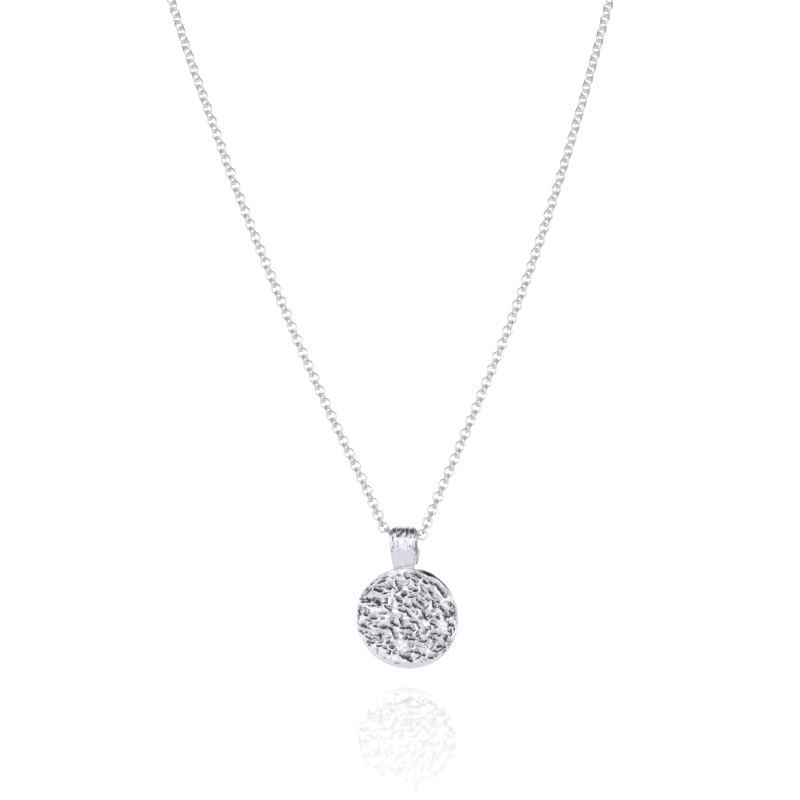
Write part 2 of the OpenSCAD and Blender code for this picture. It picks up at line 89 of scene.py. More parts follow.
# Pits of the cast face, charted in millimetres from the disc's centre.
# Columns: right, up, half length, half width, turn in degrees, and share of the full depth
PITS = (
    (0, 7.85, 0.55, 0.3, -50, 1), (-1.45, 8.05, 0.3, 0.25, -30, 0.6), (1.25, 8.25, 0.6, 0.22, -5, 0.7),
    (1.35, 7.8, 0.45, 0.13, 0, 0.5), (1.4, 7.1, 0.5, 0.2, -15, 0.7), (2.25, 7.85, 0.4, 0.25, -35, 0.8),
    (3.45, 6.9, 0.45, 0.33, -25, 0.9), (4.55, 6.8, 0.6, 0.25, -50, 0.8), (5.65, 5.95, 0.9, 0.28, -52, 0.9),
    (-4.4, 6.7, 0.65, 0.22, 22, 0.9), (-3.9, 7.45, 0.5, 0.12, 20, 0.4), (-2.4, 7.35, 0.4, 0.12, 0, 0.35),
    (-3.2, 6.45, 0.35, 0.12, 10, 0.4), (-1.4, 6, 0.85, 0.38, -58, 1), (-2.4, 5.9, 0.65, 0.2, -50, 0.6),
    (-3.2, 5.6, 0.42, 0.27, 5, 0.9), (-4.95, 5.7, 0.95, 0.2, 3, 0.7), (-5.05, 5.1, 0.72, 0.27, -8, 1),
    (-3.7, 4.65, 0.55, 0.2, 12, 0.7), (-1.75, 5.05, 0.45, 0.2, 10, 0.8), (-6.8, 4.95, 0.5, 0.2, 30, 0.7),
    (0.25, 6.4, 0.3, 0.14, 75, 0.4), (0.55, 5.6, 0.28, 0.25, 0, 0.7), (1.6, 6.2, 0.3, 0.2, -30, 0.7),
    (1.45, 5.3, 0.33, 0.28, 0, 0.9), (2.95, 5.4, 0.7, 0.2, -60, 0.7), (4.55, 4.6, 0.75, 0.25, -45, 0.9),
    (3.85, 5.7, 0.4, 0.12, -50, 0.3), (6.5, 4.9, 0.75, 0.32, -55, 0.9), (-0.5, 4.35, 0.38, 0.3, 20, 0.9),
    (0.8, 4.1, 0.38, 0.22, 15, 0.9), (0.6, 4.85, 0.25, 0.13, -50, 0.5), (1.65, 4.3, 0.25, 0.2, -50, 0.5),
    (2.7, 4.5, 0.35, 0.25, -50, 0.6), (-2.1, 4.2, 0.35, 0.18, -40, 0.6), (-7.3, 4.2, 0.4, 0.14, 30, 0.6),
    (3.65, 3.75, 0.4, 0.28, -45, 0.7), (-6.65, 3.45, 0.45, 0.35, -30, 1), (-7.25, 2.9, 0.7, 0.16, 5, 0.9),
    (-7.75, 3.3, 0.35, 0.15, 5, 0.6), (-5.25, 3.1, 0.75, 0.45, -40, 1), (-3.6, 3.2, 0.4, 0.22, 90, 0.9),
    (-2.6, 3.15, 0.2, 0.15, 70, 0.4), (-1.4, 3.4, 0.5, 0.33, -20, 0.95), (-1.1, 2.65, 0.3, 0.18, 20, 0.5),
    (2.45, 3.2, 0.8, 0.3, -38, 1), (1.1, 3.1, 0.4, 0.25, -70, 0.5), (1.4, 2.4, 0.4, 0.22, -10, 0.7),
    (4.85, 2.9, 0.6, 0.33, -80, 0.9), (5.5, 3.6, 0.4, 0.3, -60, 0.7), (6.5, 1.95, 0.85, 0.35, -55, 0.9),
    (7.55, 2.9, 0.35, 0.3, 90, 0.8), (7.2, 3, 0.3, 0.13, 90, 0.4), (5.8, 2.45, 0.3, 0.15, -60, 0.5),
    (0.05, 2.45, 0.6, 0.2, -40, 1), (3.4, 2.35, 0.28, 0.26, 0, 0.7), (2.35, 2.05, 0.25, 0.13, -30, 0.6),
    (-3.3, 1.95, 0.65, 0.16, -42, 0.9), (-5.75, 2.3, 0.45, 0.16, 0, 0.6), (-6.65, 2.3, 0.22, 0.13, 0, 0.5),
    (-7.95, 1.65, 0.35, 0.14, 50, 0.5), (-7.35, 1.4, 0.4, 0.16, 90, 0.8), (-8.3, 1.05, 0.4, 0.16, -75, 0.8),
    (-6.65, 1.05, 0.35, 0.14, -75, 0.7), (-7.25, 0.65, 0.32, 0.25, -40, 0.9),
    (-4.15, 0.95, 0.45, 0.18, -10, 0.8), (-4.9, 0.9, 0.25, 0.13, -20, 0.5),
    (-0.7, 1.55, 0.65, 0.2, -8, 0.95), (0.5, 0.9, 0.65, 0.28, -50, 1), (1.7, 1.25, 0.25, 0.16, 90, 0.6),
    (1.2, 1.5, 0.3, 0.12, -55, 0.5), (3.25, 0.85, 0.85, 0.35, -55, 1), (4.2, 0.7, 0.35, 0.28, -30, 0.7),
    (5.55, 0.75, 0.4, 0.22, -55, 0.6), (6.95, 0.9, 0.6, 0.22, -12, 1), (6.7, 0.4, 0.3, 0.22, 90, 0.9),
    (7.9, 1.55, 0.4, 0.25, -50, 0.9), (8, 0.85, 0.5, 0.1, -55, 0.7), (-5.9, 0.1, 0.5, 0.32, 0, 1),
    (-6.75, -0.4, 0.5, 0.16, -12, 0.7), (-6.4, -1, 0.26, 0.18, 30, 0.8), (-4.3, 0.1, 0.35, 0.25, 0, 0.35),
    (-2.4, 0.35, 0.3, 0.2, 0, 0.35), (-1, 0.45, 0.25, 0.18, 90, 0.45), (1.15, -0.4, 0.55, 0.17, -8, 0.7),
    (-1, -0.2, 0.35, 0.16, -50, 0.8), (-0.7, -0.8, 0.4, 0.25, -80, 0.8), (2.1, -1, 0.6, 0.2, -65, 0.9),
    (4.65, -0.65, 0.45, 0.22, -30, 0.9), (5.15, -1.1, 0.3, 0.14, 20, 0.6), (7.3, -0.7, 0.4, 0.2, 90, 0.7),
    (8, -0.7, 0.42, 0.28, -10, 1), (-2.3, -0.85, 0.75, 0.22, -22, 1), (-2.8, -1.65, 0.35, 0.22, -25, 0.9),
    (-0.6, -1.4, 0.5, 0.28, 10, 0.9), (0.2, -1.45, 0.35, 0.3, 0, 0.9), (0.95, -1.7, 0.32, 0.3, 0, 0.9),
    (-4.1, -1.45, 0.5, 0.3, -5, 0.9), (-5.55, -1.45, 0.35, 0.2, 0, 0.8),
    (-7.55, -1.45, 0.55, 0.22, -40, 0.9), (-8.15, -1.45, 0.25, 0.15, 90, 0.7),
    (3.25, -2, 0.4, 0.34, 60, 0.95), (4, -1.5, 0.35, 0.2, 90, 0.7), (-2.3, -2.8, 0.9, 0.25, -68, 1),
    (-4.5, -2.75, 0.4, 0.3, 0, 0.9), (-4.45, -3.45, 0.42, 0.28, -80, 0.8),
    (-5.25, -3.05, 0.25, 0.2, 0, 0.7), (-7.85, -2.65, 0.35, 0.2, -50, 0.95),
    (-7.05, -2.55, 0.24, 0.16, 0, 0.8), (-6.25, -2.95, 0.25, 0.15, -10, 0.7),
    (-6.75, -3.4, 0.55, 0.22, -20, 0.9), (-0.8, -2.6, 0.33, 0.25, -20, 0.6),
    (0.4, -2.7, 0.5, 0.3, -10, 0.6), (0.85, -3.4, 0.5, 0.3, 0, 0.95), (-0.3, -3.3, 0.35, 0.25, 40, 0.7),
    (1.95, -2.7, 0.6, 0.22, -85, 0.8), (2.85, -3.8, 0.6, 0.26, -12, 0.9), (2.15, -3.45, 0.3, 0.22, 80, 0.7),
    (4.75, -2.45, 0.6, 0.16, 8, 0.9), (5.8, -2.65, 0.26, 0.2, 0, 1), (4.65, -3.25, 0.6, 0.28, -12, 1),
    (4.95, -3.75, 0.25, 0.2, 60, 0.9), (6.8, -3, 0.35, 0.25, 80, 0.8), (7.2, -3.45, 0.5, 0.3, -30, 0.8),
    (7.55, -1.8, 0.3, 0.25, 0, 0.7), (7.7, -2.2, 0.5, 0.2, 75, 0.9), (-3.2, -3.5, 0.35, 0.16, 15, 0.5),
    (-3.35, -4.25, 0.32, 0.22, 10, 0.9), (-5.45, -3.7, 0.35, 0.14, -35, 0.6),
    (-6.05, -4.35, 0.26, 0.25, 0, 0.9), (-6.75, -4.15, 0.26, 0.14, 20, 0.7),
    (-6.75, -4.7, 0.26, 0.15, 75, 0.7), (-4.6, -4.3, 0.35, 0.14, 15, 0.8),
    (-4.85, -4.9, 0.36, 0.16, 20, 0.9), (-4, -5.25, 0.36, 0.14, -25, 0.8), (-2.6, -5, 0.36, 0.28, -10, 0.9),
    (-2.95, -5.95, 0.22, 0.2, 90, 1), (-2.1, -6.25, 0.22, 0.18, -30, 0.5),
    (-5.2, -6.05, 0.35, 0.13, 90, 0.5), (0.85, -4.55, 0.4, 0.34, 0, 0.4),
    (2.35, -4.85, 0.7, 0.12, -10, 0.4), (3.45, -4.5, 0.3, 0.13, -45, 0.6),
    (0.75, -5.8, 0.55, 0.12, -5, 0.5), (4.55, -4.65, 0.45, 0.16, 50, 0.6), (5.7, -4.55, 0.36, 0.3, 0, 0.9),
    (6.4, -4.8, 0.35, 0.15, 60, 0.5), (6.5, -4.65, 0.42, 0.28, -20, 0.9),
    (5.05, -5.55, 0.5, 0.16, -15, 0.8), (6, -5.3, 0.3, 0.15, 20, 0.8), (1.95, -5.85, 0.42, 0.3, -10, 0.9),
    (2.85, -6.15, 0.32, 0.2, -30, 0.7), (2.05, -6.75, 0.36, 0.2, 35, 0.7), (-0.35, -6.65, 0.8, 0.4, -12, 1),
    (0.4, -7.3, 0.4, 0.28, -20, 0.9), (4.25, -6.75, 0.45, 0.25, -5, 0.9), (4.85, -6.35, 0.4, 0.13, 10, 0.6),
    (5.35, -5.95, 0.25, 0.2, 0, 0.4), (3.15, -7.05, 0.3, 0.16, -20, 0.3), (2.45, -7.5, 0.25, 0.14, 0, 0.25),
    (-1.55, -7.95, 0.35, 0.12, -20, 0.4), (-7.28, 5.2, 0.35, 0.15, 30, 0.7), (-8.1, 3.5, 0.4, 0.2, 20, 0.8),
    (-8.4, 1.6, 0.45, 0.18, 75, 0.7), (-8.66, 0.2, 0.35, 0.14, 80, 0.5),
    (-8.45, -1.15, 0.4, 0.15, -60, 0.5), (-8.35, -2.4, 0.35, 0.15, -50, 0.6),
    (-7.85, 4.2, 0.3, 0.13, 40, 0.6), (-6.1, 6.3, 0.35, 0.13, 35, 0.6), (-5.2, 7.2, 0.3, 0.12, 30, 0.5),
    (8.3, 2.6, 0.4, 0.15, -70, 0.6), (8.5, 1.2, 0.35, 0.15, -75, 0.6), (8.35, -1.6, 0.4, 0.15, 75, 0.6),
    (7.6, -4, 0.35, 0.15, 50, 0.6), (6.6, -5.6, 0.35, 0.14, 40, 0.6), (-1.8, -7.85, 0.3, 0.1, 0, 0.3),
    (-4, -7.1, 0.25, 0.1, 20, 0.3), (8.1, 1, 0.95, 0.03, -45, 0.9),
)
# Outline of the strip. Columns: height over the bore's axis, left and right edge as shares of half its width
STRIP_WIDTHS = (
    (2.4, -0.6, 0.8), (2.1, -0.7, 0.9), (1.9, -0.76, 0.93), (1.3, -0.9, 0.98), (0.8, -0.97, 1.0),
    (0.1, -1.0, 1.0), (-1.2, -0.95, 1.0), (-2.6, -0.88, 1.0), (-3.4, -0.84, 0.99), (-4.6, -0.79, 0.94),
    (-5.2, -0.77, 0.9), (-6.0, -0.74, 0.88),
)
# Dark flecks of painted shade on the front of the strip. Columns: right, up, half width and half height
FLECKS = (
    (-1.53, -1.25, 0.13, 0.3), (-1.72, -2.0, 0.12, 0.26), (1.5, -0.95, 0.14, 0.2), (2.26, -1.55, 0.14, 0.5),
    (2.0, -1.15, 0.12, 0.15),
)
# The strip seen from its side, in millimetres out from its middle plane and up from the bore's axis
FOOT_OUT = 0.95
FOOT_UP = -5.9
BORE_TIP_OUT = 0.02
BORE_TIP_UP = -2.6
BELLY_UP = -1.3
# Distance from the disc's centre at which the wear of its rim begins
RIM_START = 7.2

# Patterns of noise on the pendant. Columns: factor across, factor up, and a layer of its own
PATTERNS = {
    "seam kinds": (0.9, 0.9, 6.0),
    "broad swell": (0.45, 0.45, 9.0),
    "close swell": (1.3, 1.3, 4.0),
    "casting grain": (4.0, 4.0, 2.0),
    "broad stain": (1.1, 1.1, 14.0),
    "close stain": (3.8, 3.8, 12.0),
    "rim wave": (2.2, 2.2, 5.0),
    "back swell": (0.28, 0.28, 21.0),
    "hammer strokes": (2.3, 0.35, 5.0),
    "fine strokes": (5.2, 0.8, 11.0),
    "hammer dents": (1.5, 1.1, 21.0),
    "leg marks": (3.4, 0.3, 41.0),
    "fine leg marks": (7.0, 0.6, 47.0),
    "belly edge": (0.8, 1.0, 3.0),
    "fine belly edge": (2.9, 0.5, 8.0),
}
# How the outlines of the pits wander. Columns: factor, layer of the noise, and reach in millimetres
WANDER = ((0.8, 3.1, 0.2), (2.1, 7.7, 0.13), (4.7, 1.7, 0.06))
# Seed of the noise that moves the outlines of the pits. Without one that noise would follow the clock
NOISE_SEED = 7


def length(name, description, default, low, high):
    """A length in metres for a property group."""
    return FloatProperty(
        name=name, description=description, default=default, min=low, max=high, precision=5, unit="LENGTH",
    )


def angle(name, description, degrees, high):
    """An angle for a property group, given in degrees, from zero up to high."""
    return FloatProperty(
        name=name, description=description, default=math.radians(degrees), min=0.0, max=math.radians(high),
        subtype="ANGLE",
    )


def tint(name, description, default):
    """A colour for a property group."""
    return FloatVectorProperty(
        name=name, description=description, default=default, min=0.0, max=1.0, size=3, subtype="COLOR",
    )


class ChainSizes(bpy.types.PropertyGroup):
    """Sizes of the rolo chain."""

    link_diameter: length("Link diameter", "Outer diameter of a round link", 0.00213, 0.0015, 0.003)
    wire_diameter: length("Wire diameter", "Diameter of a link's wire", 0.00044, 0.0002, 0.0006)
    free_play: length("Free play", "Room between the wires of two linked links", 0.00004, 0.00001, 0.0003)
    ring_sides: IntProperty(
        name="Ring sides", description="Faces round a link", default=12, min=8, max=24,
    )
    wire_sides: IntProperty(
        name="Wire sides", description="Faces round a link's wire", default=6, min=4, max=12,
    )


class PendantSizes(bpy.types.PropertyGroup):
    """Sizes of the cast disc and its strip bail."""

    disc_diameter: length("Disc diameter", "Diameter of the cast disc", 0.0183, 0.012, 0.026)
    disc_thickness: length("Disc thickness", "Thickness of the disc at its edge", 0.0025, 0.0015, 0.004)
    edge_radius: length(
        "Edge radius", "Radius of the disc's rounded edge, which is softer at the lower left",
        0.0003, 0.0002, 0.001,
    )
    pit_depth: length("Pit depth", "Depth of the deepest pits in the face", 0.00026, 0.0001, 0.0008)
    scoop_depth: length(
        "Scoop depth", "Depth of the shallow scoops that meet in ridges between the pits",
        0.00016, 0.0, 0.0003,
    )
    bore_diameter: length(
        "Bore diameter", "Bore of the bail, which the chain runs through", 0.0034, 0.0025, 0.005,
    )
    strip_thickness: length(
        "Strip thickness", "Thickness of the bail's folded strip", 0.0005, 0.0004, 0.001,
    )
    strip_width: length("Strip width", "Greatest width of the strip, beside the bore", 0.0046, 0.003, 0.006)
    drop: length(
        "Drop", "Distance from the bore's axis down to the centre of the disc", 0.01435, 0.012, 0.017,
    )
    belly: length(
        "Belly", "How far each leg of the strip bellies out beside the bore", 0.00042, 0.0, 0.0005,
    )
    disc_shift: length(
        "Disc shift", "How far the disc's centre lies to the right of the bail's", 0.00075, -0.001, 0.001,
    )
    turn: angle("Turn", "Angle that the pendant is turned on the chain", 8, 20)


class SilverFinish(bpy.types.PropertyGroup):
    """Colours and polish of the silver."""

    bright: tint("Cast silver", "Colour of the cast and hammered metal", (0.71, 0.72, 0.765))
    polished: tint("Polished silver", "Colour of the chain and the clasp", (0.82, 0.83, 0.865))
    # The worn colour also paints highlights on the pits' lips, the worn seams and the walls, and painted
    # light on the lower-left rim and inside the bore
    worn_and_highlight: tint("Worn silver", "Colour of the cast metal's crisp, worn edges", (0.95, 0.95, 0.97))
    # The tarnish colour also paints shade on the chain's wires, the disc's wall and the strip
    tarnish_and_shade: tint("Tarnish and painted shade", "Colour of the darkened metal in the pits", (0.016, 0.016, 0.019))
    polish: FloatProperty(
        name="Roughness", description="Roughness of the polished silver",
        default=0.13, min=0.02, max=0.6, subtype="FACTOR",
    )


class StudioSetup(bpy.types.PropertyGroup):
    """Camera, floor and light of the studio."""

    distance: length("Camera distance", "Distance from the camera to its aim", 0.55, 0.2, 2.0)
    elevation: angle("Camera elevation", "Angle that the camera looks down by", 10, 60)
    rise: length("Aim", "How far above the bail's bore the camera aims", 0.0241, 0.0, 0.1)
    lens: FloatProperty(
        name="Focal length", description="Focal length in millimetres on a 36 mm sensor",
        default=141.4, min=50, max=300,
    )
    floor_gap: length("Floor gap", "Height of the pendant over the floor", 0.00175, 0.0, 0.05)
    light: FloatProperty(
        name="Light", description="Strength of the soft light from above", default=2.35, min=0.0, max=10,
    )


# Shader node groups and materials


def feed(tree, socket, source):
    """Links an output, or a node's first output, to a socket, or sets the socket to a plain value."""
    if isinstance(source, bpy.types.Node):
        source = source.outputs[0]
    if isinstance(source, bpy.types.NodeSocket):
        tree.links.new(source, socket)
    else:
        socket.default_value = source


def add_node(tree, kind, place, *sources, **values):
    """A shader node with its first inputs fed in order, and its settings and other inputs by name."""
    node = tree.nodes.new("ShaderNode" + kind)
    node.location = place
    for name, value in values.items():
        if hasattr(node, name):
            setattr(node, name, value)
        else:
            feed(tree, node.inputs[name.replace("_", " ")], value)
    for socket, source in zip(node.inputs, sources):
        feed(tree, socket, source)
    return node


def remapped(tree, place, source, start, end, low, high):
    """A node that turns values from start to end into values from low to high."""
    return add_node(tree, "MapRange", place, source, start, end, low, high)


def mixed_colour(tree, place, share, first, second, blend="MIX"):
    """The colour output of a node that mixes two colours."""
    node = add_node(tree, "Mix", place, data_type="RGBA", blend_type=blend)
    for index, source in ((0, share), (6, first), (7, second)):
        feed(tree, node.inputs[index], source)
    return node.outputs[2]


def group_tree(name, inputs, outputs):
    """A shader node group with those sockets and a Vector, and the sockets of its two end nodes."""
    tree = bpy.data.node_groups.new(name, "ShaderNodeTree")
    tree.interface.new_socket("Vector", in_out="INPUT", socket_type="NodeSocketVector")
    for side, sockets in (("INPUT", inputs), ("OUTPUT", outputs)):
        for label, default in sockets.items():
            kind = "NodeSocketColor" if isinstance(default, tuple) else "NodeSocketFloat"
            tree.interface.new_socket(label, in_out=side, socket_type=kind).default_value = default
    given, result = tree.nodes.new("NodeGroupInput"), tree.nodes.new("NodeGroupOutput")
    given.location, result.location = (-800, 0), (600, 0)
    return tree, given.outputs, result.inputs


def polish_group():
    """Soft swirls and fine scratches of polished silver: a height for a bump and a roughness."""
    tree, given, result = group_tree(
        "Polish marks",
        {"Size": 4000.0, "Stretch": 5.0, "Low": 0.1, "High": 0.24},
        {"Height": 0.0, "Roughness": 0.1},
    )
    place = given["Vector"]
    squeeze = add_node(tree, "CombineXYZ", (-620, -220), 1.0, 1.0, given["Stretch"])
    along = add_node(tree, "VectorMath", (-440, -120), place, squeeze, operation="DIVIDE")
    marks = add_node(tree, "TexNoise", (-240, 60), along, Scale=given["Size"], Detail=3.0, Roughness=0.6)
    swirls = add_node(tree, "TexNoise", (-240, -220), place, Scale=420.0, Detail=2.0)
    rough = remapped(tree, (60, -200), swirls, 0.3, 0.7, given["Low"], given["High"])
    feed(tree, result["Height"], marks)
    feed(tree, result["Roughness"], rough)


def tarnish_and_shade_group():
    """Darkens silver, a little unevenly, where a mask is over zero, and brightens it where it is under:
    tarnish and painted shade, wear and painted highlights.
    """
    tree, given, result = group_tree(
        "Tarnish and painted shade",
        {
            "Bright": (0.9, 0.9, 0.9, 1.0),
            "Dark": (0.1, 0.1, 0.1, 1.0),
            "Worn": (0.95, 0.95, 0.95, 1.0),
            "Mask": 0.0,
            "Cloud": 0.2,
        },
        {"Color": (0.9, 0.9, 0.9, 1.0), "Amount": 0.0},
    )
    mask = given["Mask"]
    cloud = add_node(tree, "TexNoise", (-600, -260), given["Vector"], Scale=900.0, Detail=4.0)
    centred = add_node(tree, "Math", (-400, -260), cloud, 0.5, operation="SUBTRACT")
    uneven = add_node(tree, "Math", (-200, -200), centred, given["Cloud"], operation="MULTIPLY")
    amount = add_node(tree, "Math", (0, -120), mask, uneven, operation="ADD", use_clamp=True)
    ridge = add_node(tree, "Math", (-200, 220), mask, -1.0, operation="MULTIPLY", use_clamp=True)
    worn_and_highlight = mixed_colour(tree, (0, 220), ridge, given["Bright"], given["Worn"])
    feed(tree, result["Color"], mixed_colour(tree, (240, 60), amount, worn_and_highlight, given["Dark"]))
    feed(tree, result["Amount"], amount)


def silver_material(name, colour, mask, cloud, size, stretch, low, high, bump, edge, metal):
    """Silver with polish marks, dark where the attribute called mask says. A low edge darkens outlines."""
    finish = bpy.context.scene.silver_finish
    material = bpy.data.materials.new(name)
    material.use_nodes = True
    tree = material.node_tree
    place = add_node(tree, "TexCoord", (-1000, 0)).outputs["Object"]
    polish = add_node(
        tree, "Group", (-700, -200), node_tree=bpy.data.node_groups["Polish marks"],
        Vector=place, Size=size, Stretch=stretch, Low=low, High=high,
    )
    tarnish_and_shade = add_node(
        tree, "Group", (-700, 200), node_tree=bpy.data.node_groups["Tarnish and painted shade"], Vector=place,
        Bright=(*colour, 1.0), Dark=(*finish.tarnish_and_shade, 1.0), Worn=(*finish.worn_and_highlight, 1.0), Cloud=cloud,
    )
    if mask:
        marks = add_node(tree, "Attribute", (-1000, 260), attribute_name=mask)
        feed(tree, tarnish_and_shade.inputs["Mask"], marks.outputs["Fac"])
    relief = add_node(
        tree, "Bump", (-300, -300), Strength=bump, Distance=0.00004, Height=polish.outputs["Height"],
    )
    bare = remapped(tree, (-300, 100), tarnish_and_shade.outputs["Amount"], 0.7, 1.0, metal, 0.0)
    shader = tree.nodes["Principled BSDF"].inputs
    feed(tree, shader["Specular Tint"], (edge, edge, edge, 1.0))
    feed(tree, shader["Specular IOR Level"], 0.02)
    feed(tree, shader["Normal"], relief)
    feed(tree, shader["Roughness"], polish.outputs["Roughness"])
    feed(tree, shader["Base Color"], tarnish_and_shade.outputs["Color"])
    feed(tree, shader["Metallic"], bare)


# Geometry helpers


def unit(value):
    """The value kept between 0 and 1."""
    return min(max(value, 0.0), 1.0)


def smoothstep(low, high, value):
    """Rises smoothly from 0 at low to 1 at high, which may also be the lesser of the two."""
    share = unit((value - low) / (high - low))
    return share * share * (3 - 2 * share)


def bell(value, centre, width, power=2):
    """1 at the centre, falling off on either side over about the width, with a flat top at a power of 4."""
    return math.exp(-((value - centre) / width) ** power)


def pattern(name, x, y):
    """Noise from -1 to 1 at a place on the pendant, in the pattern of that name."""
    across, up, layer = PATTERNS[name]
    return noise.noise((x * across, y * up, layer))


def finished_object(bm, name, material):
    """An object at the origin with the bmesh as its smooth mesh, scaled from millimetres to metres."""
    bmesh.ops.recalc_face_normals(bm, faces=bm.faces)
    bmesh.ops.scale(bm, vec=Vector((MM, MM, MM)), verts=bm.verts)
    for face in bm.faces:
        face.smooth = True
    mesh = bpy.data.meshes.new(name)
    bm.to_mesh(mesh)
    bm.free()
    mesh.materials.append(material)
    piece = bpy.data.objects.new(name, mesh)
    bpy.context.collection.objects.link(piece)
    return piece


class Route:
    """A smooth curve through the rows of a route, measured by the length along it."""

    def __init__(self, rows):
        rows = [Vector(row) for row in rows]
        self.line = [
            self.between(rows, i, j / ROUTE_STEPS) for i in range(len(rows) - 1) for j in range(ROUTE_STEPS)
        ]
        self.line.append(rows[-1])
        self.lengths = [0.0]
        for a, b in zip(self.line, self.line[1:]):
            self.lengths.append(self.lengths[-1] + (b.xyz - a.xyz).length)
        self.length = self.lengths[-1]

    @staticmethod
    def slope(rows, i):
        """How much a row's values change for each millimetre along the curve, from its neighbours."""
        a, m, b = rows[max(i - 1, 0)], rows[i], rows[min(i + 1, len(rows) - 1)]
        return (b - a) / ((m.xyz - a.xyz).length + (b.xyz - m.xyz).length)

    @classmethod
    def between(cls, rows, i, t):
        """The values at share t of the way from row i to the next, on a cubic curve."""
        gap = (rows[i + 1].xyz - rows[i].xyz).length
        return (
            rows[i] * (2 * t**3 - 3 * t**2 + 1)
            + rows[i + 1] * (3 * t**2 - 2 * t**3)
            + cls.slope(rows, i) * gap * (t**3 - 2 * t**2 + t)
            + cls.slope(rows, i + 1) * gap * (t**3 - t**2)
        )

    def row(self, s):
        """The coordinates and the turn at s millimetres from the start, or at the nearer end beyond it."""
        if s <= 0:
            return self.line[0]
        for i, end in enumerate(self.lengths):
            if end >= s:
                start = self.lengths[i - 1]
                return self.line[i - 1].lerp(self.line[i], (s - start) / (end - start))
        return self.line[-1]

    def at(self, s):
        """The point at s millimetres from the start."""
        return self.row(s).xyz

    def facing(self, s):
        """The level direction that a facing link looks in there."""
        turn = math.radians(self.row(s).w)
        return Vector((-math.sin(turn), -math.cos(turn), 0.0))


def link_place(centre, normal):
    """Takes a link that lies flat at the origin to that centre, with its axis along that normal."""
    return Matrix.Translation(centre) @ normal.to_track_quat("Z", "Y").to_matrix().to_4x4()


def link_places(route, count):
    """Places of the links of one half of the chain: facing ones and edge-on ones by turns."""
    pitch = route.length / count
    places = []
    for i in range(count + 1):
        s = i * pitch
        before, after = route.at(s - pitch), route.at(s + pitch)
        along = (after - before).normalized()
        look = route.facing(s)
        if i % 2:
            places.append(link_place((before + after) / 2, along.cross(look).normalized()))
        else:
            places.append(link_place(route.at(s), (look - look.dot(along) * along).normalized()))
    return places


def link_bmesh(sizes):
    """One round link, flat at the origin, in millimetres, with a little painted shade inside and at its
    outline.
    """
    bm = bmesh.new()
    wire = sizes.wire_diameter / MM
    # The corners of the few-sided wire and ring lie a little outside the round ones, their sides inside
    reach = (sizes.link_diameter / MM - wire) / 2 / math.cos(math.pi / sizes.ring_sides) ** 0.5
    radius = wire / 2 / math.cos(math.pi / sizes.wire_sides) ** 0.5
    ring = bmesh.ops.create_circle(bm, segments=sizes.wire_sides, radius=radius)
    upright = Matrix.Rotation(math.pi / 2, 3, "X") @ Matrix.Rotation(math.pi / sizes.wire_sides, 3, "Z")
    bmesh.ops.rotate(bm, verts=ring["verts"], cent=(0, 0, 0), matrix=upright)
    bmesh.ops.translate(bm, verts=ring["verts"], vec=(reach, 0, 0))
    bmesh.ops.spin(
        bm, geom=bm.verts[:] + bm.edges[:], cent=(0, 0, 0), axis=(0, 0, 1), dvec=(0, 0, 0),
        angle=math.tau, steps=sizes.ring_sides, use_merge=True,
    )
    bmesh.ops.remove_doubles(bm, verts=bm.verts, dist=1e-5)
    bmesh.ops.recalc_face_normals(bm, faces=bm.faces)
    # Painted shade: the wire is darker on its inner side, where the links meet, and at its outer outline
    inner_shade, outer_shade = 0.12, 0.36
    shade = bm.verts.layers.float.new("wire_shade")
    for v in bm.verts:
        inward = (reach - v.co.xy.length) / radius
        inside, outside = smoothstep(0.4, 1.0, inward), smoothstep(0.4, 1.0, -inward)
        v[shade] = inner_shade * inside + outer_shade * outside
    return bm


class NECKLACE_OT_chain(bpy.types.Operator):
    """Builds both halves of the rolo chain, link by link, right round to the clasp"""

    bl_idname = "necklace.chain"
    bl_label = "Rolo chain"

    def execute(self, context):
        sizes = context.scene.chain_sizes
        link = link_bmesh(sizes)
        template = bpy.data.meshes.new("link")
        link.to_mesh(template)
        link.free()
        pitch = (sizes.link_diameter - 2 * sizes.wire_diameter - sizes.free_play) / MM
        left, right = Route(ROUTE_LEFT), Route(ROUTE_RIGHT)
        # An odd number of steps ends the left half edge-on, and an even one ends the right half facing
        left_places = link_places(left, 2 * math.ceil((left.length / pitch - 1) / 2) + 1)
        right_places = link_places(right, 2 * math.ceil(right.length / pitch / 2))
        # Both halves begin with a facing link, and one edge-on link inside the bail joins the two
        a, b = left.at(0), right.at(0)
        joining_axis = (b - a).normalized().cross(right.facing(0)).normalized()
        right_places.append(link_place((a + b) / 2, joining_axis))
        for name, places in (("chain_left", left_places), ("chain_right", right_places)):
            bm = bmesh.new()
            for place in places:
                bm.from_mesh(template)
                bm.verts.ensure_lookup_table()
                bmesh.ops.transform(bm, matrix=place, verts=bm.verts[-len(template.vertices):])
            piece = finished_object(bm, "links_" + name, bpy.data.materials["Chain silver"])
            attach(piece, "chain")
            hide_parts(name, name.replace("chain", "chain_back"))
        bpy.data.meshes.remove(template)
        return {"FINISHED"}


